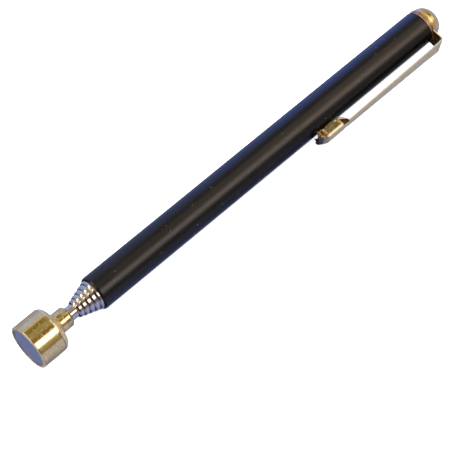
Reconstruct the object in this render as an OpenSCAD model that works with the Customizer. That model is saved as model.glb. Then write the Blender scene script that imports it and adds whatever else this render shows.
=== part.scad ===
// Pocket telescopic magnetic pickup tool, closed.
// Axis of the tool is +X. Origin: centre of the magnet's working face.
// The magnet head is at X = 0 (front), the domed cap at the far end (rear), and the
// pocket clip leans towards -Y, a little below the horizontal, as the tool lies on a bench.

/* [Magnet head] */
// Outside diameter of the brass magnet cup
cup_od = 11.3; // [10.6:0.1:12]
// Length of the cup from the working face to its back
cup_len = 7.7; // [7.2:0.1:8.6]
// Radius of the rounded shoulder at the back of the cup
cup_shoulder = 1.5; // [0.6:0.1:1.8]
// Diameter of the magnet disc
magnet_d = 9.7; // [9:0.1:9.8]
// Thickness of the magnet disc
magnet_t = 5; // [4:0.1:5]
// How far the cup rim stands proud of the magnet
rim_proud = 0.15; // [0.05:0.05:0.4]
// Diameter of the collar that holds the rod
collar_d = 5.1; // [4.9:0.1:5.6]
// Diameter of the groove between cup and collar
neck_d = 4.4; // [4:0.1:4.8]
// Length from the back of the cup to the rear of the collar
collar_end = 4.1; // [3.6:0.05:4.2]

/* [Barrel] */
// Outside diameter of the black handle tube
barrel_od = 8.7; // [8.7:0.1:9.2]
// Where the handle tube's mouth lies behind the working face
barrel_x = 19.4; // [19.4:0.1:22]
// Length of the handle tube
barrel_len = 107.45; // [100:0.05:125]
// Axial length of the rolled-in mouth
mouth_round = 0.55; // [0.3:0.05:0.6]

/* [Telescopic sections] */
// Outside diameter of the largest chromed tube
tube_od1 = 7.7; // [7.6:0.02:7.7]
// Drop in diameter from one tube to the next
tube_drop = 0.77; // [0.76:0.01:0.78]
// Wall thickness of the chromed tubes
tube_wall = 0.22; // [0.2:0.01:0.22]
// Length of each tube left showing when closed
stagger = 1.23; // [1.1:0.01:1.4]
// Diameter of the innermost solid rod
rod_d = 3.5; // [3.3:0.1:3.5]

/* [Pocket clip] */
// Thickness of the clip's spring sheet
clip_t = 0.35; // [0.35:0.05:0.5]
// Width of the clip where it leaves the cap
clip_root_w = 5.3; // [4.8:0.1:5.6]
// Width of the clip just behind its curled end
clip_neck_w = 3.0; // [2.4:0.1:3.2]
// Width of the curled end
clip_boat_w = 3.8; // [3.6:0.1:4.4]
// Distance from the tool's axis to the clip's outer face
clip_r = 7.1; // [6.9:0.1:7.6]
// Angle of the clip below the horizontal
clip_roll = 14.5; // [0:0.5:40]
// Angle by which the arm spreads away from the barrel
clip_flare = 0.4; // [0:0.05:0.8]

/* [Cap] */
// Diameter of the domed cap
cap_d = 8.6; // [7.6:0.1:8.6]
// Height of the dome
dome_h = 3.9; // [2.6:0.1:4.2]
// Thickness of the cap's flange
flange_t = 0.25; // [0.25:0.05:0.6]
// Length of the plug's rim left showing between the handle tube and the clip
plug_rim = 0.7; // [0.4:0.1:1]

/* [Hidden] */
$fn = 96;

black = [0.05, 0.05, 0.07];
plug_brass = [0.72, 0.6, 0.32];
cap_brass = [0.85, 0.68, 0.33];
clip_brass = [0.84, 0.68, 0.36];
chrome = [0.78, 0.79, 0.84];
rod_steel = [0.8, 0.8, 0.84];
bush_brass = [0.78, 0.62, 0.3];
ring_bronze = [0.75, 0.48, 0.25];
cup_brass = [0.86, 0.71, 0.38];
magnet_grey = [0.47, 0.5, 0.62];
adhesive_black = [0.08, 0.08, 0.1];

edge_bevel = 0.1;       // bevel on the edges of tubes, spigots, rod and flange
joint_gap = 0.01;       // axial gap between the parts stacked behind the handle tube
plug_len = 6;           // part of the end plug inside the handle tube
stem_r = 1.25;          // stem of the cap
tenon_r = 1.1;          // front tenon of the rod
rear_tenon_r = 0.9;     // rear tenon of the rod

barrel_end = barrel_x + barrel_len;
plug_front = barrel_end - plug_len;
plug_rear = barrel_end + plug_rim;
clip_rear = plug_rear + joint_gap + clip_t;     // rear face of the clip's root
cap_front = clip_rear + joint_gap;
collar_rear = cup_len + collar_end;

// points on an elliptical arc
function arc(centre, radii, from, to, steps) =
    [for (i = [0:steps])
        let (angle = from + (to - from) * i / steps)
        [centre.x + radii.x * cos(angle), centre.y + radii.y * sin(angle)]];

// turns a profile of [radius, x] points about the X axis
module turned(profile) {
    rotate([0, 90, 0]) rotate_extrude() polygon(profile);
}

// ---- sections: 0 is the handle tube, 1 to 5 the chromed tubes, 6 the solid rod ----
rod_section = 6;
barrel_wall = 0.35;
neck_slack = 0.04;      // running clearance at each rolled neck
neck_len = 0.8;         // length of each rolled neck
lip = 0.08;             // flat and bevelled edge inside each rolled mouth
lip_bevel = 0.05;       // radial part of that bevel
tube_round = 0.5;       // axial length of a chromed tube's rolled-in mouth
front_step = 0.9;       // first tube showing in front of the mouth
end_gap = 0.05;         // axial gap between a tail and its stop
spigot_len = 1.3;       // press fit length of a tail bush
groove_len = 2.2;       // groove that holds a friction ring
groove_depth = 0.41;    // floor of the groove below the surrounding bore
tail_flange = 0.8;      // rear flange of a tail bush
bush_slack = 0.05;      // radial clearance of the rear flange
bush_bevel = 0.15;

function outer_d(section) =
    section == 0 ? barrel_od
    : section == rod_section ? rod_d
    : tube_od1 - tube_drop * (section - 1);
function bore_r(section) = outer_d(section) / 2 - (section == 0 ? barrel_wall : tube_wall);
function front_x(section) =
    section == 0 ? barrel_x : barrel_x - front_step - stagger * (section - 1);
// rear end of the bush on a section's tail
function tail_x(section) =
    section == 1 ? plug_front - end_gap
    : tail_x(section - 1) - (tail_flange + groove_len + spigot_len) - end_gap;
// rear end of the section's tube or rod
function rear_x(section) =
    section == 0 ? barrel_end : tail_x(section) - tail_flange - groove_len;

// a tube whose front end is rolled in to a short neck around the next section
module section_tube(section, round_len) {
    outer = outer_d(section) / 2;
    bore = bore_r(section);
    neck = outer_d(section + 1) / 2 + neck_slack;
    front = front_x(section);
    rear = rear_x(section);
    turned(concat(
        [[neck, front + neck_len], [neck, front + lip], [neck + lip_bevel, front]],
        arc([neck + lip, front + round_len], [outer - neck - lip, round_len], -90, 0, 8),
        [[outer, rear - edge_bevel], [outer - edge_bevel, rear],
         [bore, rear], [bore, front + neck_len]]));
}

// profile of a bush from its ring groove to the centre of its rear face
function bush_rear(section) =
    let (bore = bore_r(section - 1),
         flange = bore - bush_slack,
         floor_r = bore - groove_depth,
         groove = rear_x(section),
         tail = tail_x(section))
    [[floor_r, groove], [floor_r, groove + groove_len],
     [flange, groove + groove_len], [flange, tail - bush_bevel],
     [flange - bush_bevel, tail], [0, tail]];

// brass plug pressed into the rear of a tube, with a groove for a friction ring
module tail_bush(section) {
    rear = rear_x(section);
    spigot = bore_r(section);
    front = rear - spigot_len;
    color(bush_brass)
    turned(concat(
        [[0, front], [spigot - edge_bevel, front], [spigot, front + edge_bevel],
         [spigot, rear]],
        bush_rear(section)));
}

ring_depth = 0.38;      // inside of a ring below the surrounding bore
ring_slack = 0.03;      // outside of a ring below the surrounding bore
ring_end_gap = 0.05;    // axial gap at each end of a ring
ring_bevel = [0.07, 0.12];      // radial, axial
ring_split = 0.9;       // width of the split
ring_turn = 60;         // turn of the split from one ring to the next

// split spring ring that rubs on the bore of the section outside it
module friction_ring(section) {
    bore = bore_r(section - 1);
    outer = bore - ring_slack;
    inner = bore - ring_depth;
    front = rear_x(section) + ring_end_gap;
    length = groove_len - 2 * ring_end_gap;
    rear = front + length;
    color(ring_bronze)
    difference() {
        turned([[inner, front], [outer - ring_bevel.x, front], [outer, front + ring_bevel.y],
                [outer, rear - ring_bevel.y], [outer - ring_bevel.x, rear], [inner, rear]]);
        rotate([ring_turn * section, 0, 0])
        translate([front - 1, -ring_split / 2, 0])
        cube([length + 2, ring_split, bore + 1]);
    }
}

// ---- handle ----
module barrel() { color(black) section_tube(0, mouth_round); }

plug_bevel = 0.3;       // lead-in at the plug's front edge
rim_bevel = 0.06;
rim_inset = 0.06;       // rim below the handle tube's surface

// brass plug with a narrow rim that closes the end of the handle tube
module end_plug() {
    bore = bore_r(0);
    rim = barrel_od / 2 - rim_inset;
    rim_front = barrel_end + joint_gap;
    color(plug_brass)
    turned([[stem_r, plug_front], [bore - plug_bevel, plug_front],
            [bore, plug_front + plug_bevel], [bore, rim_front],
            [rim - rim_bevel, rim_front], [rim, rim_front + rim_bevel],
            [rim, plug_rear - rim_bevel], [rim - rim_bevel, plug_rear],
            [stem_r, plug_rear]]);
}

stem_recess = 1.2;      // stem's front end behind the plug's front face
stem_bevel = 0.2;
dome_inset = 0.15;      // foot of the dome inside the flange's edge

// domed cap on a stem that fills the plug's hole
module end_cap() {
    stem_front = plug_front + stem_recess;
    flange = cap_d / 2;
    flange_rear = cap_front + flange_t;
    color(cap_brass)
    turned(concat(
        [[0, stem_front], [stem_r - stem_bevel, stem_front],
         [stem_r, stem_front + stem_bevel], [stem_r, cap_front],
         [flange - edge_bevel, cap_front], [flange, cap_front + edge_bevel],
         [flange, flange_rear - edge_bevel], [flange - edge_bevel, flange_rear]],
        arc([0, flange_rear], [flange - dome_inset, dome_h], 0, 90, 12)));
}

// ---- pocket clip ----
bend_x = barrel_end - 38.95;    // bend line of the turned-in tip
ear_rear = bend_x + 4.85;       // rear end of the ears
flap_rear = ear_rear + 2.0;     // where the flaps die into the arm
ear_h = 2.15;                   // height of the ears above the strip
tip_angle = 27;                 // angle of the turned-in tip
tip_len = 2.7;                  // length of the turned-in tip
sheet_mid = clip_r - clip_t / 2;        // middle of the strip's thickness
boat_half = clip_boat_w / 2;
neck_half = clip_neck_w / 2;
root_half = clip_root_w / 2;

// local Z points away from the tool's axis along the clip, local Y across it
module clip_frame() { rotate([90 + clip_roll, 0, 0]) children(); }

module both_sides() {
    children();
    mirror([0, 1, 0]) children();
}

// disc between plug and cap, with a leaf reaching out to the arm
module clip_root() {
    disc_inset = 0.05;          // disc below the handle tube's surface
    hole_slack = 0.05;          // radial clearance round the cap's stem
    leaf_r = clip_r - clip_t - 0.06;    // outer end of the leaf, just short of the arm
    front = clip_rear - clip_t;
    color(clip_brass) clip_frame()
    difference() {
        union() {
            translate([front, 0, 0]) rotate([0, 90, 0])
            cylinder(r = barrel_od / 2 - disc_inset, h = clip_t);
            translate([front, -root_half, 0]) cube([clip_t, clip_root_w, leaf_r]);
        }
        translate([front - 1, 0, 0]) rotate([0, 90, 0])
        cylinder(r = stem_r + hole_slack, h = clip_t + 2);
    }
}

// rounded leaf standing on the strip's edge, towards the tool's axis,
// running on at a lower height along the turned-in tip
module ear() {
    overhang = 0.03;            // set in from the strip's edge
    sink = 0.02;                // top edge below the middle of the sheet
    nose = 1.7;                 // reach in front of the bend line
    height = clip_t / 2 + ear_h;
    // lower edge along the tip: [distance in front of the bend, share of height]
    tip_edge = [[nose, 0.72], [1.1, 0.84], [0.35, 0.78]];
    rear_share = 0.72;          // share of height left at the rear end
    translate([0, boat_half - overhang, sheet_mid]) rotate([90, 0, 0])
    linear_extrude(clip_t)
    polygon(concat(
        [[bend_x, -sink], [bend_x - nose, -nose * tan(tip_angle) - sink]],
        [for (point = tip_edge) [bend_x - point[0], -height * point[1]]],
        arc([bend_x + 2.5, -clip_t / 2], [2.6, -ear_h], 153.6, 61.2, 7),
        [[ear_rear, -height * rear_share], [ear_rear, -sink]]));
}

// leaf that closes the rear of the ear down to the narrower arm
module flap() {
    inset = 0.05;               // set in from the strip's edge and short of its end
    top = 0.01;                 // top edge above the middle of the sheet
    front_h = ear_h * 0.74;     // heights above the strip
    rear_h = 0.42;
    taper = boat_half - neck_half;
    run = flap_rear - ear_rear;
    length = sqrt(run * run + taper * taper) - inset;
    translate([ear_rear, boat_half, sheet_mid]) rotate([0, 0, -atan2(taper, run)])
    translate([0, -inset, 0]) rotate([90, 0, 0]) linear_extrude(clip_t)
    polygon([[0, top], [0, -front_h - clip_t / 2],
             [length, -clip_t / 2 - rear_h], [length, top]]);
}

// strip with its tip turned in towards the barrel
module strip() {
    tip = tip_len * [cos(tip_angle), sin(tip_angle)];
    sheet = clip_t * [sin(tip_angle), cos(tip_angle)];
    waist_half = root_half - 0.4;
    // outline seen from outside: [x, half width]
    stations = [
        [bend_x - 4, boat_half - 1.1],
        [bend_x - 1.75, boat_half],
        [bend_x, boat_half],
        [ear_rear, boat_half],
        [flap_rear, neck_half],
        [clip_rear - 6, waist_half],
        [clip_rear - 1.2, root_half],
        [clip_rear + 1, root_half]];
    intersection() {
        // side view
        rotate([90, 0, 0]) translate([0, 0, -5]) linear_extrude(10)
        polygon([[clip_rear, clip_r - clip_t], [clip_rear, clip_r], [bend_x, clip_r],
                 [bend_x - tip.x, clip_r - tip.y],
                 [bend_x - tip.x + sheet.x, clip_r - tip.y - sheet.y],
                 [bend_x + clip_t * tan(tip_angle / 2), clip_r - clip_t]]);
        translate([0, 0, clip_r - 5]) linear_extrude(8)
        polygon(concat(
            [for (point = stations) [point.x, -point.y]],
            [for (i = [len(stations) - 1:-1:0]) stations[i]]));
    }
}

// spring arm, spread about the outer edge of its rear end
module clip_arm() {
    color(clip_brass) clip_frame()
    translate([clip_rear, 0, clip_r]) rotate([0, clip_flare, 0])
    translate([-clip_rear, 0, -clip_r])
    union() {
        strip();
        both_sides() ear();
        both_sides() flap();
    }
}

// ---- telescopic sections ----
module chromed_tube(section) { color(chrome) section_tube(section, tube_round); }

module tube_1() { chromed_tube(1); }
module tube_2() { chromed_tube(2); }
module tube_3() { chromed_tube(3); }
module tube_4() { chromed_tube(4); }
module tube_5() { chromed_tube(5); }

// solid rod with a tenon at each end
module rod() {
    outer = rod_d / 2;
    rear = rear_x(rod_section);
    tenon_rear = tail_x(rod_section) - 0.5;
    tenon_bevel = 0.2;
    color(rod_steel)
    turned([[0, cup_len - tenon_bevel], [tenon_r - tenon_bevel, cup_len - tenon_bevel],
            [tenon_r, cup_len], [tenon_r, collar_rear],
            [outer - edge_bevel, collar_rear], [outer, collar_rear + edge_bevel],
            [outer, rear - edge_bevel], [outer - edge_bevel, rear],
            [rear_tenon_r, rear], [rear_tenon_r, tenon_rear], [0, tenon_rear]]);
}

module tail_bush_1() { tail_bush(1); }
module tail_bush_2() { tail_bush(2); }
module tail_bush_3() { tail_bush(3); }
module tail_bush_4() { tail_bush(4); }
module tail_bush_5() { tail_bush(5); }

// bush with a blind hole for the rod's rear tenon
module rod_tail_bush() {
    hole_rear = tail_x(rod_section) - 0.45;
    color(bush_brass)
    turned(concat(
        [[rear_tenon_r, rear_x(rod_section)]],
        bush_rear(rod_section),
        [[0, hole_rear], [rear_tenon_r, hole_rear]]));
}

module friction_ring_1() { friction_ring(1); }
module friction_ring_2() { friction_ring(2); }
module friction_ring_3() { friction_ring(3); }
module friction_ring_4() { friction_ring(4); }
module friction_ring_5() { friction_ring(5); }
module friction_ring_6() { friction_ring(6); }

// ---- magnet head ----
magnet_r = magnet_d / 2;
magnet_bevel = 0.12;
pocket_r = magnet_r + 0.12;     // pocket in the cup, filled out by adhesive
pocket_floor = magnet_t + 0.1;
adhesive_front = 0.45;
// rear edge and rear face of the magnet
magnet_back = [[magnet_r, magnet_t - magnet_bevel], [magnet_r - magnet_bevel, magnet_t],
               [0, magnet_t]];

// cup open at the front, with a grooved collar behind it
module magnet_cup() {
    outer = cup_od / 2;
    collar = collar_d / 2;
    neck = neck_d / 2;
    rim_front = -rim_proud;
    mouth_bevel = 0.08;
    rim_round = 0.2;
    collar_bevel = 0.45;
    hole_front = cup_len - 0.25;
    color(cup_brass)
    turned(concat(
        [[0, pocket_floor], [pocket_r, pocket_floor], [pocket_r, rim_front + mouth_bevel],
         [pocket_r + mouth_bevel, rim_front]],
        arc([outer - rim_round, rim_front + rim_round], [rim_round, rim_round], -90, 0, 4),
        arc([outer - cup_shoulder, cup_len - cup_shoulder], [cup_shoulder, cup_shoulder],
            0, 90, 8),
        [[neck + 0.3, cup_len], [neck, cup_len + 0.25], [neck, cup_len + 0.5],
         [collar, cup_len + 1.0], [collar, collar_rear - collar_bevel],
         [collar - collar_bevel, collar_rear], [tenon_r, collar_rear],
         [tenon_r, hole_front], [0, hole_front]]));
}

module magnet() {
    color(magnet_grey)
    turned(concat([[0, 0], [magnet_r - magnet_bevel, 0], [magnet_r, magnet_bevel]],
                  magnet_back));
}

// thin cup of adhesive round and behind the magnet
module magnet_adhesive() {
    color(adhesive_black)
    difference() {
        turned([[0, adhesive_front], [pocket_r, adhesive_front],
                [pocket_r, pocket_floor], [0, pocket_floor]]);
        turned(concat([[0, -1], [magnet_r, -1]], magnet_back));
    }
}

barrel();
end_plug();
end_cap();
clip_root();
clip_arm();
tube_1();
tube_2();
tube_3();
tube_4();
tube_5();
rod();
tail_bush_1();
tail_bush_2();
tail_bush_3();
tail_bush_4();
tail_bush_5();
rod_tail_bush();
friction_ring_1();
friction_ring_2();
friction_ring_3();
friction_ring_4();
friction_ring_5();
friction_ring_6();
magnet_cup();
magnet();
magnet_adhesive();
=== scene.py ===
"""Telescopic magnet tool with a stamped pocket clip, lying on a pale floor.

The tool's axis is the X axis. The magnet's face is at x = 0; towards +X follow the cup, the
chromed tubes, the black handle tube, the root of the clip and the domed cap.
Profiles are lists of (radius, x) in millimetres. Meshes are in metres.
"""
import math
from math import cos, radians, sin

import bmesh
import bpy
from mathutils import Matrix, Vector


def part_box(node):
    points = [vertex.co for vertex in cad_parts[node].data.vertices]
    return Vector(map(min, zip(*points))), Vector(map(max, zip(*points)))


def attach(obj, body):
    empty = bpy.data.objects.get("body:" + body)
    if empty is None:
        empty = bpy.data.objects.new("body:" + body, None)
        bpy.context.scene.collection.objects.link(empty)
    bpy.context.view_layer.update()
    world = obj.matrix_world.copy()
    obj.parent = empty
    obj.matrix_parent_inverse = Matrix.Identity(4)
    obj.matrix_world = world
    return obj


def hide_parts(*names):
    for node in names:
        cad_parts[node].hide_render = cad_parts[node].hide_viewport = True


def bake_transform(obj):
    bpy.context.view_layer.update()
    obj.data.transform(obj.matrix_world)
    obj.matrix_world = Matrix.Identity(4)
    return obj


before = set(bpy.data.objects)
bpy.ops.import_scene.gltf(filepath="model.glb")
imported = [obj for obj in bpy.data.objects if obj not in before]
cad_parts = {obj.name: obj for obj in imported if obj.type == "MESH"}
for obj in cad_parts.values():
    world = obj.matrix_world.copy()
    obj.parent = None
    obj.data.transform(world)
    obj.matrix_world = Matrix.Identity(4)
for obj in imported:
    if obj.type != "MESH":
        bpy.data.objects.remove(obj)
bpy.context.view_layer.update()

MM = 0.001
CLIP_ROLL = radians(14.5)            # the clip's angle below the horizontal
X = Vector((1, 0, 0))
TO_CLIP = Vector((0, -cos(CLIP_ROLL), -sin(CLIP_ROLL)))       # from the axis towards the clip
ACROSS_CLIP = Vector((0, -sin(CLIP_ROLL), cos(CLIP_ROLL)))    # upwards across the clip


def span(node):
    """Start x, end x and radius of a CAD piece, in mm."""
    low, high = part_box(node)
    return low[0] / MM, high[0] / MM, high[1] / MM


# ---- Shader nodes
class Nodes:
    """Node tree of a material or world; most methods return an output socket."""

    def __init__(self, owner):
        owner.use_nodes = True
        self.tree = owner.node_tree
        self.tree.nodes.clear()

    def node(self, kind, inputs=None, **settings):
        node = self.tree.nodes.new(kind)
        for name, value in settings.items():
            setattr(node, name, value)
        self.feed(node, inputs or {})
        return node

    def feed(self, node, inputs):
        """Link or set inputs, given by socket name or number; colours are RGB."""
        for key, value in inputs.items():
            socket = node.inputs[key]
            if isinstance(value, bpy.types.NodeSocket):
                self.tree.links.new(value, socket)
            elif socket.type == "RGBA":
                socket.default_value = (*value, 1)
            else:
                socket.default_value = value

    def math(self, operation, first, second):
        node = self.node("ShaderNodeMath", {0: first, 1: second}, operation=operation)
        return node.outputs[0]

    def add(self, first, second):
        return self.math("ADD", first, second)

    def times(self, first, second):
        return self.math("MULTIPLY", first, second)

    def dot(self, vector, direction):
        inputs = {0: vector, 1: direction}
        return self.node("ShaderNodeVectorMath", inputs, operation="DOT_PRODUCT").outputs["Value"]

    def remap(self, value, source=(0.3, 0.7), target=(0, 1)):
        return self.node("ShaderNodeMapRange", {
            "Value": value, "From Min": source[0], "From Max": source[1],
            "To Min": target[0], "To Max": target[1]}).outputs[0]

    def mix(self, factor, first, second):
        inputs = {0: factor, 6: first, 7: second}
        return self.node("ShaderNodeMix", inputs, data_type="RGBA").outputs[2]


class Material(Nodes):
    """Principled material with textures in object space."""

    def __init__(self, name):
        self.data = bpy.data.materials.new(name)
        super().__init__(self.data)
        self.shader = self.node("ShaderNodeBsdfPrincipled")
        self.node("ShaderNodeOutputMaterial", {0: self.shader.outputs[0]})
        self.position = self.coords((1, 1, 1))

    def coords(self, scale):
        position = self.node("ShaderNodeTexCoord").outputs["Object"]
        return self.node("ShaderNodeMapping", {"Vector": position, "Scale": scale}).outputs["Vector"]

    def noise(self, scale, detail=3, roughness=0.5, vector=None):
        return self.node("ShaderNodeTexNoise", {
            "Scale": scale, "Detail": detail, "Roughness": roughness,
            "Vector": vector or self.position}).outputs["Fac"]

    def specks(self, scale, size, threshold=0.72):
        """1 inside small scattered dots, 0 elsewhere; a higher threshold leaves fewer."""
        cells = self.node("ShaderNodeTexVoronoi", {"Scale": scale, "Vector": self.position})
        dots = self.math("LESS_THAN", cells.outputs["Distance"], size)
        parts = self.node("ShaderNodeSeparateColor", {0: cells.outputs["Color"]})
        return self.times(dots, self.math("GREATER_THAN", parts.outputs[0], threshold))

    def bump(self, height, strength, distance=0.00002):
        return self.node("ShaderNodeBump", {
            "Strength": strength, "Distance": distance, "Height": height}).outputs[0]

    def surface(self, **inputs):
        """Feed the shader, underscores standing for spaces, and return the material."""
        self.feed(self.shader, {key.replace("_", " "): value for key, value in inputs.items()})
        return self.data


# ---- Materials
def black_paint():
    mat = Material("satin_black_paint")
    clouds = mat.noise(scale=60)
    grain = mat.noise(scale=2600, detail=2)
    specks = mat.specks(scale=620, size=0.10)
    base = mat.mix(mat.remap(clouds), (0.0016, 0.0015, 0.0018), (0.0030, 0.0028, 0.0034))
    base = mat.mix(mat.times(specks, 0.5), base, (0.12, 0.115, 0.12))
    rough = mat.remap(mat.noise(scale=240, detail=4), target=(0.24, 0.30))
    # smoother where the surface faces the clip's side and the floor
    normal = mat.node("ShaderNodeNewGeometry").outputs["Normal"]
    facing = mat.dot(normal, (0.0, -0.850, -0.527))
    rough = mat.times(rough, mat.remap(facing, source=(0.72, 0.93), target=(1.0, 0.45)))
    rough = mat.add(rough, mat.times(specks, 0.25))
    height = mat.add(mat.times(grain, 0.6), mat.times(specks, 0.5))
    return mat.surface(Base_Color=base, Roughness=rough, IOR=1.5,
                       Specular_Tint=(1.0, 0.96, 0.88), Normal=mat.bump(height, strength=0.12))


def gold(name, rough, dust=0.0, lines=0.0, strength=0.10):
    """Gold plate; dust roughens specks, lines are turned rings, strength is the bump's."""
    mat = Material(name)
    clouds = mat.remap(mat.noise(scale=300, detail=4), source=(0.35, 0.65))
    tone = mat.mix(clouds, (0.90, 0.66, 0.28), (0.97, 0.75, 0.36))
    roughness = mat.remap(mat.noise(scale=900, detail=4), target=(rough - 0.03, rough + 0.04))
    height = mat.times(mat.noise(scale=1800), 0.5)
    if lines:
        rings = mat.noise(scale=9000, detail=2, vector=mat.coords((1, 0.001, 0.001)))
        height = mat.add(height, mat.times(rings, lines))
    if dust:
        # mottled plating: soft olive clouds and small specks
        olive = mat.remap(mat.noise(scale=1500, roughness=0.6), source=(0.42, 0.60))
        tone = mat.mix(mat.times(olive, 0.38), tone, (0.58, 0.46, 0.17))
        coarse = mat.specks(scale=1700, size=0.30, threshold=0.60)
        fine = mat.specks(scale=3300, size=0.30, threshold=0.66)
        specks = mat.math("MAXIMUM", mat.times(coarse, 0.8), mat.times(fine, 0.55))
        roughness = mat.add(roughness, mat.times(specks, dust))
        height = mat.add(height, mat.times(specks, 0.8))
    return mat.surface(Base_Color=tone, Metallic=1.0, Roughness=roughness,
                       Normal=mat.bump(height, strength))


def satin(name, tone_1, tone_2, rough, metallic):
    """Satin metal for unpolished sheet edges and turned rings, also used for the painted shade and
    painted reflections below.
    """
    mat = Material(name)
    clouds = mat.noise(scale=900, detail=4)
    streaks = mat.noise(scale=6000, vector=mat.coords((1, 0.05, 0.05)))
    tone = mat.mix(mat.remap(clouds, source=(0.4, 0.6)), tone_1, tone_2)
    shade = mat.remap(streaks, source=(0.4, 0.65), target=(0, 0.5))
    tone = mat.mix(shade, tone, [0.72 * c for c in tone_1])
    return mat.surface(Base_Color=tone, Metallic=metallic,
                       Roughness=mat.remap(clouds, target=(rough - 0.06, rough + 0.08)),
                       Normal=mat.bump(mat.add(clouds, streaks), strength=0.18))


def chrome():
    mat = Material("bright_chrome")
    drawn = mat.coords((0.02, 1, 1))             # streaks along the tool
    clouds = mat.remap(mat.noise(scale=300, detail=4), source=(0.35, 0.65))
    return mat.surface(
        Base_Color=mat.mix(clouds, (0.70, 0.665, 0.57), (0.77, 0.735, 0.645)), Metallic=1.0,
        Roughness=mat.remap(mat.noise(scale=3000, vector=drawn), target=(0.04, 0.09)),
        Normal=mat.bump(mat.noise(scale=2500, vector=drawn), strength=0.05))


def magnet_metal():
    mat = Material("ground_magnet_painted_blue_reflection")
    ground = mat.coords((1, 1, 0.03))            # grinding lines along z
    clouds = mat.remap(mat.noise(scale=500, detail=5))
    # blue-lavender tone: a painted reflection of the bluish light round the tool
    tone = mat.mix(clouds, (0.37, 0.43, 0.68), (0.44, 0.51, 0.80))
    specks = mat.specks(scale=1300, size=0.12)
    tone = mat.mix(mat.times(specks, 0.5), tone, (0.62, 0.62, 0.66))
    height = mat.add(mat.noise(scale=4000), mat.noise(scale=5000, detail=2, vector=ground))
    return mat.surface(
        Base_Color=tone, Metallic=0.85, Normal=mat.bump(height, strength=0.12),
        Roughness=mat.remap(mat.noise(scale=700, detail=4), target=(0.38, 0.5)))


def machined(name, tone_1, tone_2, rough):
    """Turned metal with fine rings round the axis."""
    mat = Material(name)
    clouds = mat.remap(mat.noise(scale=400, detail=4), source=(0.35, 0.65))
    tone = mat.mix(clouds, tone_1, tone_2)
    rings = mat.noise(scale=7000, vector=mat.coords((1, 0.002, 0.002)))
    shade = mat.remap(rings, source=(0.4, 0.6), target=(0, 0.35))
    tone = mat.mix(shade, tone, [0.7 * c for c in tone_1])
    return mat.surface(Base_Color=tone, Metallic=1.0,
                       Roughness=mat.remap(rings, target=(rough - 0.06, rough + 0.08)),
                       Normal=mat.bump(rings, strength=0.25, distance=0.00003))


def adhesive():
    mat = Material("dark_adhesive")
    clouds = mat.remap(mat.noise(scale=700, detail=4))
    return mat.surface(
        Base_Color=mat.mix(clouds, (0.012, 0.012, 0.016), (0.03, 0.03, 0.036)),
        Roughness=mat.remap(mat.noise(scale=900), target=(0.25, 0.5)),
        Normal=mat.bump(mat.noise(scale=1500), strength=0.5, distance=0.00004))


PAINT = black_paint()
GOLD = gold("polished_gold_plate", rough=0.05, dust=0.35, lines=0.12)
CLIP_GOLD = gold("polished_gold_clip", rough=0.09, dust=0.20, strength=0.30)
CAP_GOLD = gold("polished_gold_cap", rough=0.10, lines=0.55)
EDGE, SHADE_GROOVE, LIP, NECK, CRUMPLE_REFLECTION, FOLD, TIP_END, COPPER, RING = [satin(*row) for row in (
    # name, main tone, second tone, roughness, metallic
    ("sheared_gold_edge", (0.62, 0.53, 0.38), (0.72, 0.62, 0.46), 0.34, 0.6),
    # painted shade: near-black copper for the shade in the plug's groove and on the flap below its
    # hem
    ("painted_shade_groove", (0.06, 0.024, 0.012), (0.10, 0.042, 0.02), 0.40, 0.8),
    ("turned_gold_lip", (0.60, 0.49, 0.30), (0.71, 0.60, 0.41), 0.30, 0.6),
    ("turned_gold_neck", (0.84, 0.64, 0.30), (0.95, 0.77, 0.42), 0.26, 0.85),
    # painted reflections: dark brown and light gold patches stand in for light and shade on the
    # crumpled leaf
    ("crumple_painted_reflections", (0.22, 0.09, 0.025), (0.92, 0.76, 0.44), 0.24, 0.95),
    ("burnished_gold_fold", (0.70, 0.60, 0.36), (0.84, 0.74, 0.50), 0.36, 0.6),
    # near-black grey for the clip's tip end, far darker than the gold of the rest of the clip
    ("near_black_sheet_end", (0.075, 0.072, 0.080), (0.115, 0.110, 0.120), 0.36, 0.8),
    ("bright_copper_line", (0.66, 0.44, 0.28), (0.80, 0.58, 0.38), 0.28, 0.85),
    ("copper_ring", (0.42, 0.27, 0.14), (0.60, 0.42, 0.25), 0.30, 0.9))]
CHROME = chrome()
MAGNET = magnet_metal()
GLUE = adhesive()
BRASS = machined("machined_brass", (0.72, 0.53, 0.24), (0.80, 0.62, 0.33), rough=0.24)
BRONZE = machined("rolled_bronze", (0.62, 0.36, 0.18), (0.70, 0.44, 0.25), rough=0.30)


# ---- Profiles and meshes
def smooth(t):
    """0 to 1 with level ends."""
    t = min(max(t, 0.0), 1.0)
    return t * t * (3 - 2 * t)


def fillet(corners, steps):
    """Profile through (radius, x, rounding) corners; the end corners stay sharp."""
    points = []
    for i, (radius, x, rounding) in enumerate(corners):
        if rounding <= 0 or i in (0, len(corners) - 1):
            points.append((radius, x))
            continue
        before = Vector((corners[i - 1][0] - radius, corners[i - 1][1] - x))
        after = Vector((corners[i + 1][0] - radius, corners[i + 1][1] - x))
        room_before, room_after = before.length * 0.48, after.length * 0.48
        before.normalize()
        after.normalize()
        half_angle = before.angle(after) / 2
        setback = min(rounding / math.tan(half_angle), room_before, room_after)
        arc_radius = setback * math.tan(half_angle)
        corner = Vector((radius, x))
        centre = corner + (before + after).normalized() * (arc_radius / sin(half_angle))
        first = corner + before * setback - centre
        last = corner + after * setback - centre
        start = math.atan2(first.y, first.x)
        turn = (math.atan2(last.y, last.x) - start + math.pi) % (2 * math.pi) - math.pi
        for k in range(steps + 1):
            angle = start + turn * k / steps
            points.append((centre.x + arc_radius * cos(angle), centre.y + arc_radius * sin(angle)))
    return points


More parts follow.
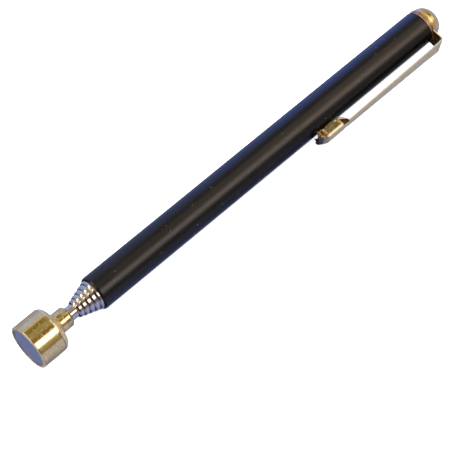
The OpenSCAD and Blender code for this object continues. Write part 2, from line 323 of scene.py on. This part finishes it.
def arc(radius, x, size_radial, size_x, start, end, steps):
    """Elliptic arc about (radius, x), angles in degrees from the radial direction to +X."""
    angles = [radians(start + (end - start) * i / steps) for i in range(steps + 1)]
    return [(radius + size_radial * cos(a), x + size_x * sin(a)) for a in angles]


def revolved_mesh(profile, segments):
    """Turn a closed profile about X; points of radius 0 become poles."""
    points = []
    for point in profile:
        if not points or abs(point[0] - points[-1][0]) + abs(point[1] - points[-1][1]) > 1e-5:
            points.append(point)
    mesh = bmesh.new()
    angles = [2 * math.pi * k / segments for k in range(segments)]
    rings = []
    for radius, x in points:
        if radius < 1e-6:
            rings.append([mesh.verts.new((x * MM, 0, 0))])
        else:
            rings.append([mesh.verts.new((x * MM, radius * MM * sin(a), radius * MM * cos(a)))
                          for a in angles])
    for ring, following in zip(rings, rings[1:] + rings[:1]):
        if len(ring) == 1 and len(following) == 1:
            continue
        for k in range(segments):
            k2 = (k + 1) % segments
            if len(ring) == 1:
                mesh.faces.new((ring[0], following[k], following[k2]))
            elif len(following) == 1:
                mesh.faces.new((ring[k], following[0], ring[k2]))
            else:
                mesh.faces.new((ring[k], following[k], following[k2], ring[k2]))
    return mesh


def to_object(name, mesh, material, sharp_angle):
    bmesh.ops.remove_doubles(mesh, verts=mesh.verts, dist=1e-8)
    bmesh.ops.recalc_face_normals(mesh, faces=mesh.faces)
    data = bpy.data.meshes.new(name)
    mesh.to_mesh(data)
    mesh.free()
    obj = bpy.data.objects.new(name, data)
    bpy.context.scene.collection.objects.link(obj)
    data.materials.append(material)
    data.shade_smooth()
    data.set_sharp_from_angle(angle=radians(sharp_angle))
    return obj


def revolve(name, profile, material, body, cad_piece, segments=160):
    obj = to_object(name, revolved_mesh(profile, segments), material, sharp_angle=32)
    normals = obj.modifiers.new("normals", "WEIGHTED_NORMAL")
    normals.keep_sharp = True
    normals.weight = 50
    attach(obj, body)
    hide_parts(cad_piece)
    return obj


def add_finishes(obj, materials, choose):
    """Append materials; choose(x, radius) of a face centre in mm gives its material slot."""
    for material in materials:
        obj.data.materials.append(material)
    for face in obj.data.polygons:
        x, y, z = face.center
        face.material_index = choose(x / MM, math.hypot(y, z) / MM)


# ---- Handle tube, with a rounded nose round the first chromed tube
GAP = 0.04                           # play between one tube and the next
HANDLE_WALL = 0.35
HANDLE_LIP = 0.14                    # rounding of the bore's edge
HANDLE_NOSE = 0.62                   # length of the rounded nose
handle_start, handle_end, handle_radius = span("barrel")
tubes = [span(f"tube_{k}") for k in range(1, 6)]
bore = tubes[0][2] + GAP
inside = handle_radius - HANDLE_WALL
profile = [(bore, handle_start + 0.8), (bore, handle_start + 0.2)]
profile += arc(bore + HANDLE_LIP, handle_start + 0.2, HANDLE_LIP, 0.2, 180, 270, 5)
profile += arc(bore + HANDLE_LIP, handle_start + HANDLE_NOSE,
               handle_radius - bore - HANDLE_LIP, HANDLE_NOSE, -90, 0, 14)
profile += fillet([(handle_radius, handle_start + 1.0, 0), (handle_radius, handle_end, 0.12),
                   (inside, handle_end, 0)], 4)
profile += [(inside, handle_start + 0.8)]
revolve("handle_tube", profile, PAINT, "handle", "barrel", 192)

# ---- Chromed tubes, each closing in on the next; the last one on the rod
TUBE_WALL = 0.22
TUBE_NOSE = 0.78                     # length of the rounded nose
rod_start, rod_end, rod_radius = span("rod")
inner_radii = [tube[2] for tube in tubes[1:]] + [rod_radius]
for k, ((start, end, radius), inner_radius) in enumerate(zip(tubes, inner_radii), 1):
    bore = inner_radius + GAP
    profile = [(bore, start + 0.8), (bore, start + 0.1)]
    profile += arc(bore + 0.05, start + 0.1, 0.05, 0.1, 180, 270, 3)
    profile += arc(bore + 0.06, start + TUBE_NOSE, radius - bore - 0.06, TUBE_NOSE, -90, 0, 16)
    profile += [(radius, start + 0.95), (radius, end - 0.15)]
    profile += arc(radius - 0.1, end - 0.1, 0.1, 0.1, 0, 90, 3)
    profile += [(radius - TUBE_WALL, end), (radius - TUBE_WALL, start + 0.8)]
    revolve(f"chrome_tube_{k}", profile, CHROME, f"section_{k}", f"tube_{k}")

# ---- Rod, with a thinner spigot inside the cup and another in the tail bush
SPIGOT = 1.1
TAIL_SPIGOT = 0.9
cup_start, cup_end, cup_radius = span("magnet_cup")
bush_start = span("rod_tail_bush")[0]
profile = [(0, rod_start), (SPIGOT - 0.15, rod_start), (SPIGOT, rod_start + 0.2)]
profile += fillet([(SPIGOT, cup_end, 0), (rod_radius, cup_end, 0.08),
                   (rod_radius, bush_start, 0.08), (TAIL_SPIGOT, bush_start, 0)], 3)
profile += [(TAIL_SPIGOT, rod_end), (0, rod_end)]
revolve("inner_rod", profile, CHROME, "rod_and_head", "rod", 128)

# ---- Cup round the magnet, with a shoulder, a waist and a collar behind it
MAGNET_GAP = 0.12
SHOULDER = 1.5                       # rounding of the shoulder
WAIST = 2.2
COLLAR = 2.55
_, magnet_end, magnet_radius = span("magnet")
shoulder_end = cup_end - 4.1
pocket = magnet_radius + MAGNET_GAP
profile = [(0, magnet_end + 0.1), (pocket, magnet_end + 0.1), (pocket, cup_start + 0.12)]
profile += arc(magnet_radius + 0.24, cup_start + 0.12, 0.12, 0.12, 180, 270, 5)
profile += arc(cup_radius - 0.3, cup_start + 0.3, 0.3, 0.3, -90, 0, 10)
profile += [(cup_radius, cup_start + 0.6), (cup_radius, shoulder_end - 1.7)]
profile += arc(cup_radius - SHOULDER, shoulder_end - SHOULDER, SHOULDER, SHOULDER, 0, 90, 20)
profile += fillet([
    (cup_radius - 1.6, shoulder_end, 0), (WAIST, shoulder_end + 0.02, 0.12),
    (WAIST, shoulder_end + 0.5, 0.2), (COLLAR, shoulder_end + 0.95, 0.12),
    (COLLAR, cup_end - 0.5, 0.16), (2.02, cup_end, 0.08), (SPIGOT, cup_end, 0)], 6)
profile += [(SPIGOT, shoulder_end - 0.25), (0, shoulder_end - 0.25)]
cup = revolve("brass_cup", profile, GOLD, "rod_and_head", "magnet_cup", 192)


def cup_finish(x, radius):
    """1 on the lip and the shoulder, 2 on the waist."""
    if x < cup_start + 0.24 or (x > shoulder_end - 1.25 and radius > 3.2):
        return 1
    return 2 if shoulder_end - 0.05 < x < shoulder_end + 0.93 else 0


add_finishes(cup, [LIP, NECK], cup_finish)

# ---- Magnet and the adhesive round it
ROUND = 0.12                         # rounding of the magnet's edges
profile = [(0, 0), (magnet_radius - 0.25, 0)]
profile += arc(magnet_radius - ROUND, ROUND, ROUND, ROUND, -90, 0, 5)
profile += arc(magnet_radius - ROUND, magnet_end - ROUND, ROUND, ROUND, 0, 90, 4)
profile += [(0, magnet_end)]
revolve("magnet_disc", profile, MAGNET, "rod_and_head", "magnet")

glue_start, glue_end, _ = span("magnet_adhesive")
profile = [
    (magnet_radius, glue_start + 0.04), (magnet_radius + 0.06, glue_start + 0.12),
    (magnet_radius + 0.118, glue_start + 0.02), (magnet_radius + 0.118, glue_end - 0.002),
    (0, glue_end - 0.002), (0, magnet_end + 0.002),
    (magnet_radius - ROUND, magnet_end + 0.002), (magnet_radius, magnet_end - 0.1)]
revolve("adhesive_line", profile, GLUE, "rod_and_head", "magnet_adhesive")

# ---- Domed cap on a stem, with a flange
SHEET = 0.35                         # thickness of the clip
FLANGE = 0.25                        # thickness of the cap's flange
RIM = 0.7                            # length of the plug's rim between handle tube and clip
STEM = 1.25
DOME_POWER = 2.25                    # superellipse exponent of the dome
RIPPLE_DEPTH, RIPPLE_PITCH, RIPPLE_END = 0.035, 0.82, 1.9    # turned waves at the dome's foot
cap_start, cap_end, cap_radius = span("end_cap")
flange_x = handle_end + RIM + SHEET + 0.02
dome_radius = cap_radius - 0.15
dome_height = cap_end - flange_x - FLANGE
profile = [(0, cap_start), (STEM - 0.15, cap_start), (STEM, cap_start + 0.2)]
profile += fillet([(STEM, flange_x, 0), (cap_radius, flange_x, 0.08),
                   (cap_radius, flange_x + FLANGE - 0.04, 0.06),
                   (dome_radius, flange_x + FLANGE, 0)], 4)
for i in range(61):
    angle = radians(2 + 88 * i / 60)
    x = dome_height * sin(angle) ** (2 / DOME_POWER)
    fade = max(0.0, 1 - x / RIPPLE_END) ** 0.7
    radius = dome_radius * cos(angle) ** (2 / DOME_POWER)
    radius -= RIPPLE_DEPTH * fade * (1 - cos(2 * math.pi * x / RIPPLE_PITCH)) * 0.5
    profile.append((radius if i < 60 else 0, flange_x + FLANGE + x))
cap = revolve("domed_cap", profile, CAP_GOLD, "handle", "end_cap")
add_finishes(cap, [RING], lambda x, radius: int(
    x < flange_x + FLANGE - 0.05 and radius > cap_radius - 0.24))

# ---- End plug: its body is in the handle tube, its rim shows between tube and clip
PLUG_BODY = 3.99
plug_start, _, plug_radius = span("end_plug")
profile = fillet([
    (STEM, plug_start, 0), (PLUG_BODY, plug_start, 0.3), (PLUG_BODY, handle_end + 0.01, 0),
    (plug_radius - 0.07, handle_end + 0.01, 0.02), (plug_radius - 0.07, handle_end + 0.27, 0.03),
    (plug_radius, handle_end + 0.30, 0.04), (plug_radius, handle_end + 0.48, 0.04),
    (plug_radius - 0.05, handle_end + 0.50, 0.03), (plug_radius - 0.05, handle_end + RIM, 0.04),
    (STEM, handle_end + RIM, 0)], 3)
plug = revolve("end_plug_ring", profile, BRASS, "handle", "end_plug")


def plug_finish(x, radius):
    """Round the rim, going away from the tube: 2 painted shade in the groove, 3 bright line, 1 ring.
    """
    depth = x - handle_end
    if depth <= 0 or radius <= plug_radius - 0.3:
        return 0
    return 2 if depth < 0.285 else 3 if depth < 0.49 else 1


add_finishes(plug, [RING, SHADE_GROOVE, COPPER], plug_finish)

# ---- Pocket clip: one stamped strip, from the root under the cap to the tip
ARM = 7.1                            # outer radius of the arm from the tool's axis
ROOT_X = handle_end + RIM + 0.01 + SHEET     # root's face on the cap's side
ROOT_INNER = 3.6                     # inner end of the radial leaf
BEND = 0.85                          # outer radius of the bend from root to arm
FLARE = radians(0.4)                 # the arm spreads a little away from the handle
EAR_LENGTH = 4.85
TIP_X = handle_end - 38.95           # bend line of the tip
EAR_END = TIP_X + EAR_LENGTH         # end of the ears towards the root
FLAP_END = EAR_END + 2.0             # end of the flaps towards the root
TIP_START = TIP_X - 0.35             # past the tip's bend
TIP_LENGTH = 2.05
TIP_BEND, TIP_CURL = 23.0, 13        # degrees turned at the bend, then up to the end
FLAT_STEPS, FOLD_STEPS, LEAF_STEPS = 8, 14, 12     # across half the strip

# material slots of the clip and what each is for
CLIP_MATERIALS = (CLIP_GOLD, EDGE, SHADE_GROOVE, CRUMPLE_REFLECTION, RING, FOLD, TIP_END)
PLAIN, SHEARED, PAINTED_SHADE, CRUMPLE_PAINTED, WASHER_RIM, BURNISHED, NEAR_BLACK_END = range(7)


def clip_path():
    """Outer face of the strip from root to tip: (x, radius, tangent angle in degrees)."""
    path = [(ROOT_X, ROOT_INNER + (ARM - BEND - ROOT_INNER) * i / 8, 90.0) for i in range(9)]
    for i in range(1, 15):
        turn = 90.0 * i / 14
        path.append((ROOT_X - BEND + BEND * cos(radians(turn)),
                     ARM - BEND + BEND * sin(radians(turn)), 90 + turn))
    x, radius = ROOT_X - BEND, ARM
    # straight runs: end x, steps; the short ones are the flaps' cut and the crease at the ears
    for end, steps in ((FLAP_END + 0.06, 80), (FLAP_END - 0.06, 6), (EAR_END + 0.25, 20),
                       (EAR_END - 0.35, 14), (TIP_X + 0.3, 44)):
        path += [(x + (end - x) * i / steps, ARM, 180.0) for i in range(1, steps + 1)]
        x = end
    # tip: step length, heading of the step, turn at its end
    moves = [(0.6 / 14, TIP_BEND * (i - 0.5) / 14, TIP_BEND * i / 14) for i in range(1, 15)]
    curls = [TIP_BEND + TIP_CURL * (i / 56) for i in range(1, 57)]
    moves += [(2.12 / 56, turn, turn) for turn in curls]
    for step, heading, turn in moves:
        x -= step * cos(radians(heading))
        radius -= step * sin(radians(heading))
        path.append((x, radius, 180.0 + turn))
    return path


def ear_arch(x):
    """Height of the ear's rounded outline."""
    offset = ((x - TIP_X) / EAR_LENGTH - 0.43) / 0.64
    return 2.02 * math.sqrt(max(0.0, 1 - min(abs(offset), 1.0) ** 2.4))


def section(x, radius, angle):
    """Half width of the flat, fold angle in degrees, leaf length and fold radius."""
    if radius < ARM - 0.01 and angle <= 181:         # radial leaf and bend
        return 2.35, 0.0, 0.3, 0.45
    if x > FLAP_END:                                 # arm, tapering towards the flaps
        t = (ROOT_X - 1.2 - x) / 4.8
        if t < 1:
            width = 2.65 - 0.4 * smooth(t)
        else:
            width = 2.25 - 0.75 * (ROOT_X - 6.0 - x) / (ROOT_X - 6.0 - FLAP_END)
        return width - 0.3 - 0.1 * smooth((FLAP_END + 0.06 - x) / 0.06), 0.0, 0.3, 0.45
    if x > EAR_END:                                  # flap, closing towards the arm
        t = (FLAP_END - x) / (FLAP_END - EAR_END)
        cut = smooth(t * 12)
        width = 1.37 + 0.52 * t - 0.34 * cut - 0.4 * (1 - cut)
        return width, 88.0 * cut, 0.3 + (0.25 + 1.55 * t) * cut, 0.34
    if x > TIP_START:                                # ear; t is 0 at the tip's bend
        t = (x - TIP_X) / EAR_LENGTH
        leaf = max(ear_arch(x) + 0.03,
                   1.84 - 0.32 * smooth((t - 0.15) / 0.2) + 0.10 * sin(17 * t),
                   1.78 * smooth((t - 0.70) / 0.12))
        fold = 96.0 + 7.0 * math.exp(-((t + 0.02) / 0.045) ** 2)
        fold -= 3.0 * math.exp(-((t - 0.97) / 0.05) ** 2)
        return 1.43, fold, leaf, 0.46
    # tip: the leaf is crumpled, then low and even at the end
    t = min((TIP_START - x) / TIP_LENGTH, 1.0)
    crumple = 1 - smooth((t - 0.58) / 0.12)
    taper = smooth((t - 0.84) / 0.16)
    wave = (9 * sin(15.5 * t + 0.5) + 5 * sin(37.0 * t + 1.0)) * crumple
    leaf = (1.72 + 0.20 * sin(11.0 * t + 0.3) + 0.08 * sin(29.0 * t)) * crumple
    leaf += 0.52 * (1 - crumple) - 0.36 * taper
    return 1.43 - 0.14 * taper, 90 - wave - 14 * (1 - crumple), leaf, 0.42


def fold_turn(q):
    """Share of the fold's angle at share q: a tight start, a nearly flat facet, a tight end."""
    if q < 0.28:
        return q / 0.28 * 0.60
    if q < 0.78:
        return 0.60 + (q - 0.28) / 0.50 * 0.145
    return 0.745 + (q - 0.78) / 0.22 * 0.255


def cross_section(station):
    """Outer line across the strip: (y across, rise outwards, slope in radians)."""
    flat, fold, leaf, fold_radius = section(*station)
    x = station[0]
    # the free edge flares out a little along the flap
    hem = radians(46 * smooth((x - TIP_X - 3.6) / 0.7) * smooth((FLAP_END - 0.25 - x) / 0.3))
    half = [(flat * i / FLAT_STEPS, 0.0, 0.0) for i in range(FLAT_STEPS + 1)]
    full_turn = radians(fold)
    shaped = smooth(fold / 60.0)
    y, rise, slope = flat, 0.0, 0.0
    step = 1.64 * fold_radius / FOLD_STEPS * (0.03 + 0.97 * smooth(fold / 40.0))
    for i in range(1, FOLD_STEPS + 1):
        q = i / FOLD_STEPS
        new_slope = full_turn * ((1 - shaped) * q + shaped * fold_turn(q))
        middle = (slope + new_slope) / 2
        y += step * cos(middle)
        rise -= step * sin(middle)
        slope = new_slope
        half.append((y, rise, slope))
    step = leaf / LEAF_STEPS
    for i in range(1, LEAF_STEPS + 1):
        lift = smooth((leaf * (i - 0.5) / LEAF_STEPS - (leaf - 0.34)) / 0.10)
        slope = full_turn - hem * lift
        y += step * cos(slope)
        rise -= step * sin(slope)
        half.append((y, rise, slope))
    return [(-y, rise, -slope) for y, rise, slope in half[:0:-1]] + half


def clip_point(station, y, rise, slope, offset):
    """Place a section's point, moved by offset along the section's own normal."""
    x, radius, angle = station
    normal_x, normal_radial = sin(radians(angle)), -cos(radians(angle))
    if angle > 181:                                  # the tip's leaf hangs towards the axis
        x += normal_x * offset * cos(slope)
        radius += normal_radial * offset * cos(slope) + rise
    else:
        x += normal_x * (rise + offset * cos(slope))
        radius += normal_radial * (rise + offset * cos(slope))
    # the arm's spread, about the outer corner of the bend
    spread = FLARE * smooth((ROOT_X - 0.2 - x) / 1.5)
    along, out = x - ROOT_X, radius - ARM
    x = ROOT_X + along * cos(spread) + out * sin(spread)
    radius = ARM - along * sin(spread) + out * cos(spread)
    y += offset * sin(slope)
    return X * (x * MM) + TO_CLIP * (radius * MM) + ACROSS_CLIP * (y * MM)


def outer_finish(x, tip_share, rank, height):
    """Slot of an outer face; rank is counted from the leaf's free edge."""
    on_leaf = rank < LEAF_STEPS
    off_flat = rank < LEAF_STEPS + FOLD_STEPS
    if tip_share > (0.64 if off_flat else 0.46):
        return NEAR_BLACK_END
    # crumpled leaf and tip: painted reflections in dark brown and light gold
    if x < TIP_X + 1.9 and on_leaf and height > ear_arch(x) - 0.05:
        return CRUMPLE_PAINTED
    if x < TIP_X + 0.08 and off_flat:
        return CRUMPLE_PAINTED
    if TIP_X + 0.08 < x < EAR_END and off_flat and not on_leaf:
        return BURNISHED
    if EAR_END + 0.1 < x < FLAP_END and off_flat:    # the flap gets painted shade below its hem
        return BURNISHED if rank <= LEAF_STEPS * 0.30 else PAINTED_SHADE
    return PLAIN


def clip_mesh():
    path = clip_path()
    lines = [cross_section(station) for station in path]
    mesh = bmesh.new()
    outer, inner = [[[mesh.verts.new(clip_point(station, *point, offset)) for point in line]
                     for station, line in zip(path, lines)] for offset in (0.0, -SHEET)]
    last = len(lines[0]) - 1
    for i in range(len(path) - 1):
        x = (path[i][0] + path[i + 1][0]) / 2
        tip_share = (TIP_START - x) / TIP_LENGTH
        leaf = section(*path[i])[2]
        top, top_next, under, under_next = outer[i], outer[i + 1], inner[i], inner[i + 1]
        for j in range(last):
            rank = min(j, last - 1 - j)
            height = (LEAF_STEPS - rank - 0.5) / LEAF_STEPS * leaf
            face = mesh.faces.new((top[j], top[j + 1], top_next[j + 1], top_next[j]))
            face.material_index = outer_finish(x, tip_share, rank, height)
            face = mesh.faces.new((under[j], under_next[j], under_next[j + 1], under[j + 1]))
            face.material_index = NEAR_BLACK_END if tip_share > 0.30 else PLAIN
        for j in (0, last):
            face = mesh.faces.new((top[j], top_next[j], under_next[j], under[j]))
            face.material_index = NEAR_BLACK_END if tip_share > 0.50 else SHEARED
    for i, slot in ((0, SHEARED), (len(path) - 1, NEAR_BLACK_END)):
        for j in range(last):
            face = mesh.faces.new((outer[i][j], inner[i][j], inner[i][j + 1], outer[i][j + 1]))
            face.material_index = slot
    return mesh


def washer_mesh():
    """Round root of the clip under the cap."""
    segments = 128
    radius = handle_radius - 0.05
    chamfer = 0.03
    front = ROOT_X - SHEET
    mesh = revolved_mesh([
        (1.3, front), (radius - chamfer, front), (radius, front + chamfer),
        (radius, ROOT_X - chamfer), (radius - chamfer, ROOT_X), (1.3, ROOT_X)], segments)
    for i, face in enumerate(mesh.faces):
        face.material_index = WASHER_RIM if i // segments in (1, 2, 3) else PLAIN
    return mesh


clip = to_object("pocket_clip", clip_mesh(), CLIP_GOLD, sharp_angle=40)
washer = to_object("washer_tmp", washer_mesh(), CLIP_GOLD, sharp_angle=40)
for material in CLIP_MATERIALS[1:]:
    clip.data.materials.append(material)
    washer.data.materials.append(material)
union = clip.modifiers.new("join", "BOOLEAN")
union.operation = "UNION"
union.solver = "EXACT"
union.object = washer
bpy.context.view_layer.update()
evaluated = clip.evaluated_get(bpy.context.evaluated_depsgraph_get())
joined = bpy.data.meshes.new_from_object(evaluated)
clip.modifiers.clear()
clip.data = joined
bpy.data.objects.remove(washer)

# put the materials back in their own order, matching faces by material name
slot_of = {material.name: i for i, material in enumerate(CLIP_MATERIALS)}
joined_slots = [slot_of.get(material.name, 0) if material else 0 for material in joined.materials]
face_slots = [face.material_index for face in joined.polygons]
joined.materials.clear()
for material in CLIP_MATERIALS:
    joined.materials.append(material)
for face, i in zip(joined.polygons, face_slots):
    face.material_index = joined_slots[i] if i < len(joined_slots) else 0
joined.shade_smooth()
joined.set_sharp_from_angle(angle=radians(40))
bevel = clip.modifiers.new("edge", "BEVEL")
bevel.width = 0.04 * MM
bevel.segments = 2
bevel.limit_method = "ANGLE"
bevel.angle_limit = radians(55)
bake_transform(clip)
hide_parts("clip_root", "clip_arm")

# ---- Pieces inside the tubes keep their CAD shape
for name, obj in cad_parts.items():
    if name.startswith("tail_bush") or name == "rod_tail_bush":
        material, slot = BRASS, "brass"
    elif name.startswith("friction_ring"):
        material, slot = BRONZE, "bronze"
    else:
        continue
    obj.data.materials.clear()
    obj.data.materials.append(material)


# ---- Floor, just under the cup and unseen in reflections
def pale_floor():
    mat = Material("pale_floor")
    clouds = mat.remap(mat.noise(scale=900, detail=4))
    return mat.surface(
        Base_Color=mat.mix(clouds, (0.88, 0.88, 0.885), (0.92, 0.92, 0.915)),
        Roughness=mat.remap(mat.noise(scale=300), target=(0.85, 0.95)),
        Emission_Color=(1, 1, 1), Emission_Strength=0.80)


bpy.ops.mesh.primitive_plane_add(size=6, location=(0, 0, -cup_radius * MM - 0.00002))
floor = bpy.context.object
floor.name = "floor"
floor.data.materials.append(pale_floor())
floor.visible_glossy = False

# ---- Camera
VIEW_ROLL = CLIP_ROLL + 0.301        # the camera's angle round the tool's axis
CAMERA_TILT = 0.694                  # turn about the line of sight, in radians
TO_CAMERA = Vector((0, -sin(VIEW_ROLL), cos(VIEW_ROLL)))      # from the axis to the camera
ACROSS_VIEW = Vector((0, -cos(VIEW_ROLL), -sin(VIEW_ROLL)))   # across it, to the clip's side
camera_place = (X * -100.96 + TO_CAMERA * 405.05) * MM
target = (X * 53.14 + ACROSS_VIEW * 8.740) * MM
forward = (target - camera_place).normalized()
level = (X - forward * X.dot(forward)).normalized()
down = forward.cross(level)
right = level * cos(CAMERA_TILT) + down * sin(CAMERA_TILT)
up = level * sin(CAMERA_TILT) - down * cos(CAMERA_TILT)
pose = Matrix((right, up, -forward)).transposed().to_4x4()
pose.translation = camera_place
lens = bpy.data.cameras.new("camera")
camera = bpy.data.objects.new("camera", lens)
bpy.context.scene.collection.objects.link(camera)
camera.matrix_world = pose
lens.sensor_width = 36
lens.lens = 143.22638
lens.clip_start = 0.01
lens.clip_end = 20
bpy.context.scene.camera = camera

# ---- World: what polished pieces see, as bands round the tool's axis.
# Columns: angle from the camera's side towards the clip's side in degrees, red, green, blue.
BANDS = {
    "magnet_side": (
        (-180, .34, .38, .66), (-120, .38, .46, .92), (-100, .34, .40, .68), (-84, .25, .26, .40),
        (-74, .6, .56, .54), (-66, 4.2, 3.6, 3.1), (-58, 4.2, 3.6, 3.1), (-51, .5, .45, .42),
        (-38, .28, .25, .23), (-31, 1.9, 1.65, 1.4), (-26, 1.9, 1.65, 1.4), (-19, .12, .06, .045),
        (-12, .07, .028, .022), (28, .07, .028, .022), (58, .08, .05, .05), (72, .24, .27, .48),
        (100, .30, .34, .64), (122, .10, .11, .18), (146, .07, .075, .10), (160, .26, .29, .52),
        (180, .34, .38, .66)),
    "narrow": (
        (-180, .19, .20, .28), (-150, .33, .36, .54), (-118, .40, .44, .74),
        (-104, .46, .59, 1.40), (-86, .46, .61, 1.50), (-80, .52, .54, .62), (-76, .66, .60, .46),
        (-70, .56, .50, .34), (-64, .24, .20, .12), (-50, .22, .175, .09), (-43, .34, .32, .20),
        (-18, .33, .31, .20), (-11, .22, .16, .08), (-1, .26, .20, .12), (4, .60, .54, .46),
        (7.5, 2.1, 2.3, 3.6), (29.5, 2.1, 2.3, 3.6), (34, .80, .74, .62), (40, .42, .38, .26),
        (60, .25, .225, .16), (65, .28, .27, .28), (68, .50, .53, .78), (96, .50, .54, .86),
        (118, .40, .43, .66), (144, .25, .26, .42), (180, .19, .20, .28)),
    "broadside": (
        (-180, .25, .30, .56), (-150, .32, .39, .68), (-118, .35, .42, .68), (-92, .39, .46, .76),
        (-78, .44, .47, .66), (-72, .58, .56, .60), (-66, .46, .43, .42), (-44, .38, .36, .35),
        (-22, .46, .43, .41), (-14, .30, .25, .22), (-6, .15, .11, .09), (3, .30, .24, .20),
        (7.5, 2.5, 2.2, 2.05), (29.5, 2.5, 2.2, 2.05), (34, .55, .46, .44), (40, .16, .13, .14),
        (58, .17, .16, .22), (66, .40, .40, .58), (84, .36, .40, .70), (104, .25, .31, .68),
        (126, .20, .25, .58), (150, .26, .30, .54), (180, .25, .30, .56)),
    "cap_side_1": (
        (-180, .012, .012, .018), (-160, .02, .02, .03), (-146, .22, .30, .62),
        (-130, .42, .68, 2.15), (-110, .44, .76, 2.55), (-90, .50, .86, 2.75),
        (-76, .44, .70, 2.2), (-68, .26, .32, .8), (-60, .08, .08, .12), (-43, .09, .08, .07),
        (-38, 1.2, 1.05, .85), (-30, 1.7, 1.45, 1.2), (-22, 1.3, 1.1, .92), (-8, 2.1, 1.7, 1.35),
        (10, 3.7, 2.95, 2.5), (25, 3.7, 2.95, 2.5), (29, .35, .31, .28), (50, .22, .20, .19),
        (80, .17, .17, .20), (94, .03, .03, .035), (134, .015, .015, .02), (138, .45, .49, .66),
        (144, .44, .48, .66), (150, .36, .41, .66), (154, .012, .012, .018),
        (180, .012, .012, .018)),
    "cap_side_2": (
        (-180, .04, .04, .06), (-166, .06, .07, .12), (-148, .34, .40, .74), (-112, .42, .46, .80),
        (-98, .44, .38, .34), (-86, .40, .32, .22), (-72, .62, .52, .40), (-50, .86, .70, .52),
        (-30, .60, .49, .34), (-10, 1.0, .82, .62), (4, 1.35, 1.12, .9), (14, 1.5, 1.25, 1.0),
        (26, .8, .65, .48), (44, .46, .37, .27), (70, .46, .42, .36), (88, .42, .42, .54),
        (104, .36, .41, .70), (136, .30, .33, .52), (152, .04, .04, .06), (180, .04, .04, .06)),
    "cap_side_3": (
        (-180, .36, .42, .84), (-112, .40, .45, .86), (-98, .36, .36, .44), (-84, .40, .32, .20),
        (-58, .34, .27, .16), (-46, .26, .20, .11), (-32, .26, .20, .11), (-20, .44, .35, .24),
        (-8, .9, .74, .55), (6, 1.15, .95, .74), (16, 1.15, .95, .74), (28, .7, .56, .42),
        (46, .42, .35, .27), (70, .46, .42, .42), (88, .42, .44, .62), (104, .38, .43, .80),
        (180, .36, .42, .84)),
}
# Where one band gives way to the next: x of the direction at start and end, next band
CHANGES = (
    (-0.05, 0.07, "broadside"), (0.215, 0.225, "narrow"), (0.2695, 0.2705, "broadside"),
    (0.325, 0.46, "cap_side_1"), (0.50, 0.545, "cap_side_2"), (0.62, 0.70, "cap_side_3"),
    (0.87, 0.95, "plain"))

world = bpy.data.worlds.new("studio")
bpy.context.scene.world = world
sky = Nodes(world)
direction = sky.node("ShaderNodeTexCoord").outputs["Generated"]
along = sky.dot(direction, X)
towards_camera = sky.dot(direction, TO_CAMERA)
around = sky.math("ARCTAN2", sky.dot(direction, ACROSS_VIEW), towards_camera)
around = sky.remap(around, source=(-math.pi, math.pi))


def band(stops):
    node = sky.node("ShaderNodeValToRGB", {0: around})
    elements = node.color_ramp.elements
    while len(elements) < len(stops):
        elements.new(0.5)
    for element, (angle, *colour) in zip(elements, stops):
        element.position = (angle + 180) / 360
        element.color = (*colour, 1)
    return node.outputs[0]


bands = {name: band(stops) for name, stops in BANDS.items()}
bands["plain"] = (0.36, 0.40, 0.70)
light = bands["magnet_side"]
for start, end, name in CHANGES:
    light = sky.mix(sky.remap(along, source=(start, end)), light, bands[name])
# dark below, towards the magnet's end
low = sky.times(sky.remap(along, source=(-0.28, -0.36)),
                sky.remap(towards_camera, source=(-0.2, -0.45)))
light = sky.mix(low, light, (0.012, 0.010, 0.010))
seen = sky.node("ShaderNodeBackground", {"Color": light})
fill = sky.node("ShaderNodeBackground", {"Color": (1, 1, 1), "Strength": 0.55})
glossy = sky.node("ShaderNodeLightPath").outputs["Is Glossy Ray"]
mixed = sky.node("ShaderNodeMixShader", {0: glossy, 1: fill.outputs[0], 2: seen.outputs[0]})
sky.node("ShaderNodeOutputWorld", {0: mixed.outputs[0]})

# ---- Softbox overhead, unseen in reflections
softbox_place = Vector((0.06, -0.10, 0.9))
softbox_target = Vector((0.06, 0, 0))
lamp = bpy.data.lights.new("overhead_softbox", "AREA")
lamp.shape = "RECTANGLE"
lamp.size = lamp.size_y = 1.0
lamp.energy = 9.0
lamp.color = (1, 0.99, 0.97)
softbox = bpy.data.objects.new("overhead_softbox", lamp)
bpy.context.scene.collection.objects.link(softbox)
softbox.location = softbox_place
softbox.rotation_mode = "QUATERNION"
softbox.rotation_quaternion = (softbox_target - softbox_place).to_track_quat("-Z", "Y")
softbox.visible_glossy = False

bpy.context.scene.view_settings.view_transform = "Standard"
bpy.context.scene.view_settings.look = "None"
